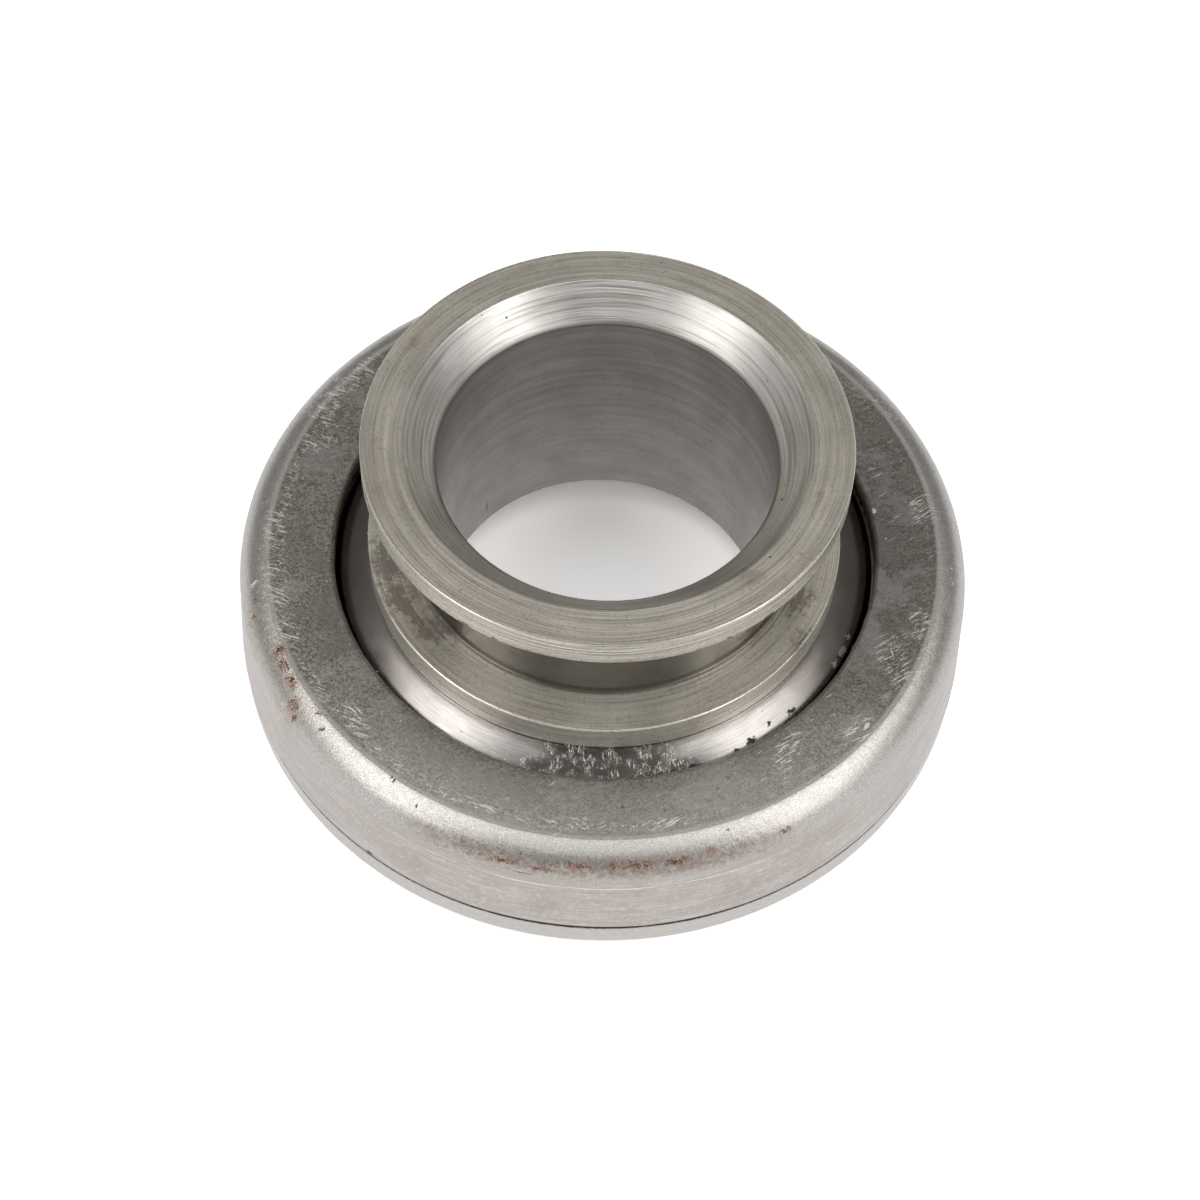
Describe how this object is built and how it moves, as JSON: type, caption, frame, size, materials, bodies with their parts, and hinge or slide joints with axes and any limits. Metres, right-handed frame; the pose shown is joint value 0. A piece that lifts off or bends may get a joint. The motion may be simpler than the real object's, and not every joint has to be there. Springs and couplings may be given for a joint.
{
  "type": "clutch release bearing",
  "caption": "Clutch release bearing on a flanged sliding sleeve with a fork groove: pressed steel shell and flat contact face that spin on balls round the fixed sleeve.",
  "frame": {"origin": "on the bearing's axis, in the plane of the contact face that it stands on", "axes": "+Z along the axis, from the contact face towards the fork end; the front of the picture is -Y"},
  "size_m": [0.079, 0.079, 0.0353],
  "materials": {
    "turned_steel": "turned, fine rings round the axis, light brown stains",
    "ground_steel": "ground bright, with scuffs and a dark film",
    "ring_steel": "satin, ground flat on the contact face",
    "pressed_steel": "dull pressed sheet, mottled, scuffed at the corner, specks of rust",
    "cage_steel": "dull, oily",
    "ball_steel": "polished"
  },
  "bodies": {
    "sleeve": {"release_sleeve": "turned_steel", "inner_race": "ground_steel"},
    "rotor": {"thrust_ring": "ring_steel", "bearing_shell": "pressed_steel"},
    "cage": {"ball_cage": "cage_steel"},
    "rolling_ball_01": {"ball_01": "ball_steel"},
    "rolling_ball_02": {"ball_02": "ball_steel"},
    "rolling_ball_03": {"ball_03": "ball_steel"},
    "rolling_ball_04": {"ball_04": "ball_steel"},
    "rolling_ball_05": {"ball_05": "ball_steel"},
    "rolling_ball_06": {"ball_06": "ball_steel"},
    "rolling_ball_07": {"ball_07": "ball_steel"},
    "rolling_ball_08": {"ball_08": "ball_steel"},
    "rolling_ball_09": {"ball_09": "ball_steel"},
    "rolling_ball_10": {"ball_10": "ball_steel"},
    "rolling_ball_11": {"ball_11": "ball_steel"},
    "rolling_ball_12": {"ball_12": "ball_steel"},
    "rolling_ball_13": {"ball_13": "ball_steel"},
    "rolling_ball_14": {"ball_14": "ball_steel"},
    "rolling_ball_15": {"ball_15": "ball_steel"},
    "rolling_ball_16": {"ball_16": "ball_steel"}
  },
  "joints": [
    {"name": "rotor_spin", "type": "hinge", "parent": "sleeve", "child": "rotor", "pos_m": [0, 0, 0.00888], "axis": [0, 0, 1], "continuous": true},
    {"name": "cage_spin", "type": "hinge", "parent": "sleeve", "child": "cage", "pos_m": [0, 0, 0.00888], "axis": [0, 0, 1], "continuous": true},
    {"name": "ball_01_roll", "type": "hinge", "parent": "cage", "child": "rolling_ball_01", "pos_m": [0.031, 0, 0.00888], "axis": [0.766, 0, 0.6428], "continuous": true},
    {"name": "ball_02_roll", "type": "hinge", "parent": "cage", "child": "rolling_ball_02", "pos_m": [0.02864, 0.01186, 0.00888], "axis": [0.7077, 0.2932, 0.6428], "continuous": true},
    {"name": "ball_03_roll", "type": "hinge", "parent": "cage", "child": "rolling_ball_03", "pos_m": [0.02192, 0.02192, 0.00888], "axis": [0.5417, 0.5417, 0.6428], "continuous": true},
    {"name": "ball_04_roll", "type": "hinge", "parent": "cage", "child": "rolling_ball_04", "pos_m": [0.01186, 0.02864, 0.00888], "axis": [0.2932, 0.7077, 0.6428], "continuous": true},
    {"name": "ball_05_roll", "type": "hinge", "parent": "cage", "child": "rolling_ball_05", "pos_m": [0, 0.031, 0.00888], "axis": [0, 0.766, 0.6428], "continuous": true},
    {"name": "ball_06_roll", "type": "hinge", "parent": "cage", "child": "rolling_ball_06", "pos_m": [-0.01186, 0.02864, 0.00888], "axis": [-0.2932, 0.7077, 0.6428], "continuous": true},
    {"name": "ball_07_roll", "type": "hinge", "parent": "cage", "child": "rolling_ball_07", "pos_m": [-0.02192, 0.02192, 0.00888], "axis": [-0.5417, 0.5417, 0.6428], "continuous": true},
    {"name": "ball_08_roll", "type": "hinge", "parent": "cage", "child": "rolling_ball_08", "pos_m": [-0.02864, 0.01186, 0.00888], "axis": [-0.7077, 0.2932, 0.6428], "continuous": true},
    {"name": "ball_09_roll", "type": "hinge", "parent": "cage", "child": "rolling_ball_09", "pos_m": [-0.031, 0, 0.00888], "axis": [-0.766, 0, 0.6428], "continuous": true},
    {"name": "ball_10_roll", "type": "hinge", "parent": "cage", "child": "rolling_ball_10", "pos_m": [-0.02864, -0.01186, 0.00888], "axis": [-0.7077, -0.2932, 0.6428], "continuous": true},
    {"name": "ball_11_roll", "type": "hinge", "parent": "cage", "child": "rolling_ball_11", "pos_m": [-0.02192, -0.02192, 0.00888], "axis": [-0.5417, -0.5417, 0.6428], "continuous": true},
    {"name": "ball_12_roll", "type": "hinge", "parent": "cage", "child": "rolling_ball_12", "pos_m": [-0.01186, -0.02864, 0.00888], "axis": [-0.2932, -0.7077, 0.6428], "continuous": true},
    {"name": "ball_13_roll", "type": "hinge", "parent": "cage", "child": "rolling_ball_13", "pos_m": [0, -0.031, 0.00888], "axis": [0, -0.766, 0.6428], "continuous": true},
    {"name": "ball_14_roll", "type": "hinge", "parent": "cage", "child": "rolling_ball_14", "pos_m": [0.01186, -0.02864, 0.00888], "axis": [0.2932, -0.7077, 0.6428], "continuous": true},
    {"name": "ball_15_roll", "type": "hinge", "parent": "cage", "child": "rolling_ball_15", "pos_m": [0.02192, -0.02192, 0.00888], "axis": [0.5417, -0.5417, 0.6428], "continuous": true},
    {"name": "ball_16_roll", "type": "hinge", "parent": "cage", "child": "rolling_ball_16", "pos_m": [0.02864, -0.01186, 0.00888], "axis": [0.7077, -0.2932, 0.6428], "continuous": true}
  ],
  "couplings": [
    {"joint": "cage_spin", "follows": "rotor_spin", "ratio": 0.54115},
    {"joint": "ball_01_roll", "follows": "rotor_spin", "ratio": 3.8785},
    {"joint": "ball_02_roll", "follows": "rotor_spin", "ratio": 3.8785},
    {"joint": "ball_03_roll", "follows": "rotor_spin", "ratio": 3.8785},
    {"joint": "ball_04_roll", "follows": "rotor_spin", "ratio": 3.8785},
    {"joint": "ball_05_roll", "follows": "rotor_spin", "ratio": 3.8785},
    {"joint": "ball_06_roll", "follows": "rotor_spin", "ratio": 3.8785},
    {"joint": "ball_07_roll", "follows": "rotor_spin", "ratio": 3.8785},
    {"joint": "ball_08_roll", "follows": "rotor_spin", "ratio": 3.8785},
    {"joint": "ball_09_roll", "follows": "rotor_spin", "ratio": 3.8785},
    {"joint": "ball_10_roll", "follows": "rotor_spin", "ratio": 3.8785},
    {"joint": "ball_11_roll", "follows": "rotor_spin", "ratio": 3.8785},
    {"joint": "ball_12_roll", "follows": "rotor_spin", "ratio": 3.8785},
    {"joint": "ball_13_roll", "follows": "rotor_spin", "ratio": 3.8785},
    {"joint": "ball_14_roll", "follows": "rotor_spin", "ratio": 3.8785},
    {"joint": "ball_15_roll", "follows": "rotor_spin", "ratio": 3.8785},
    {"joint": "ball_16_roll", "follows": "rotor_spin", "ratio": 3.8785}
  ]
}
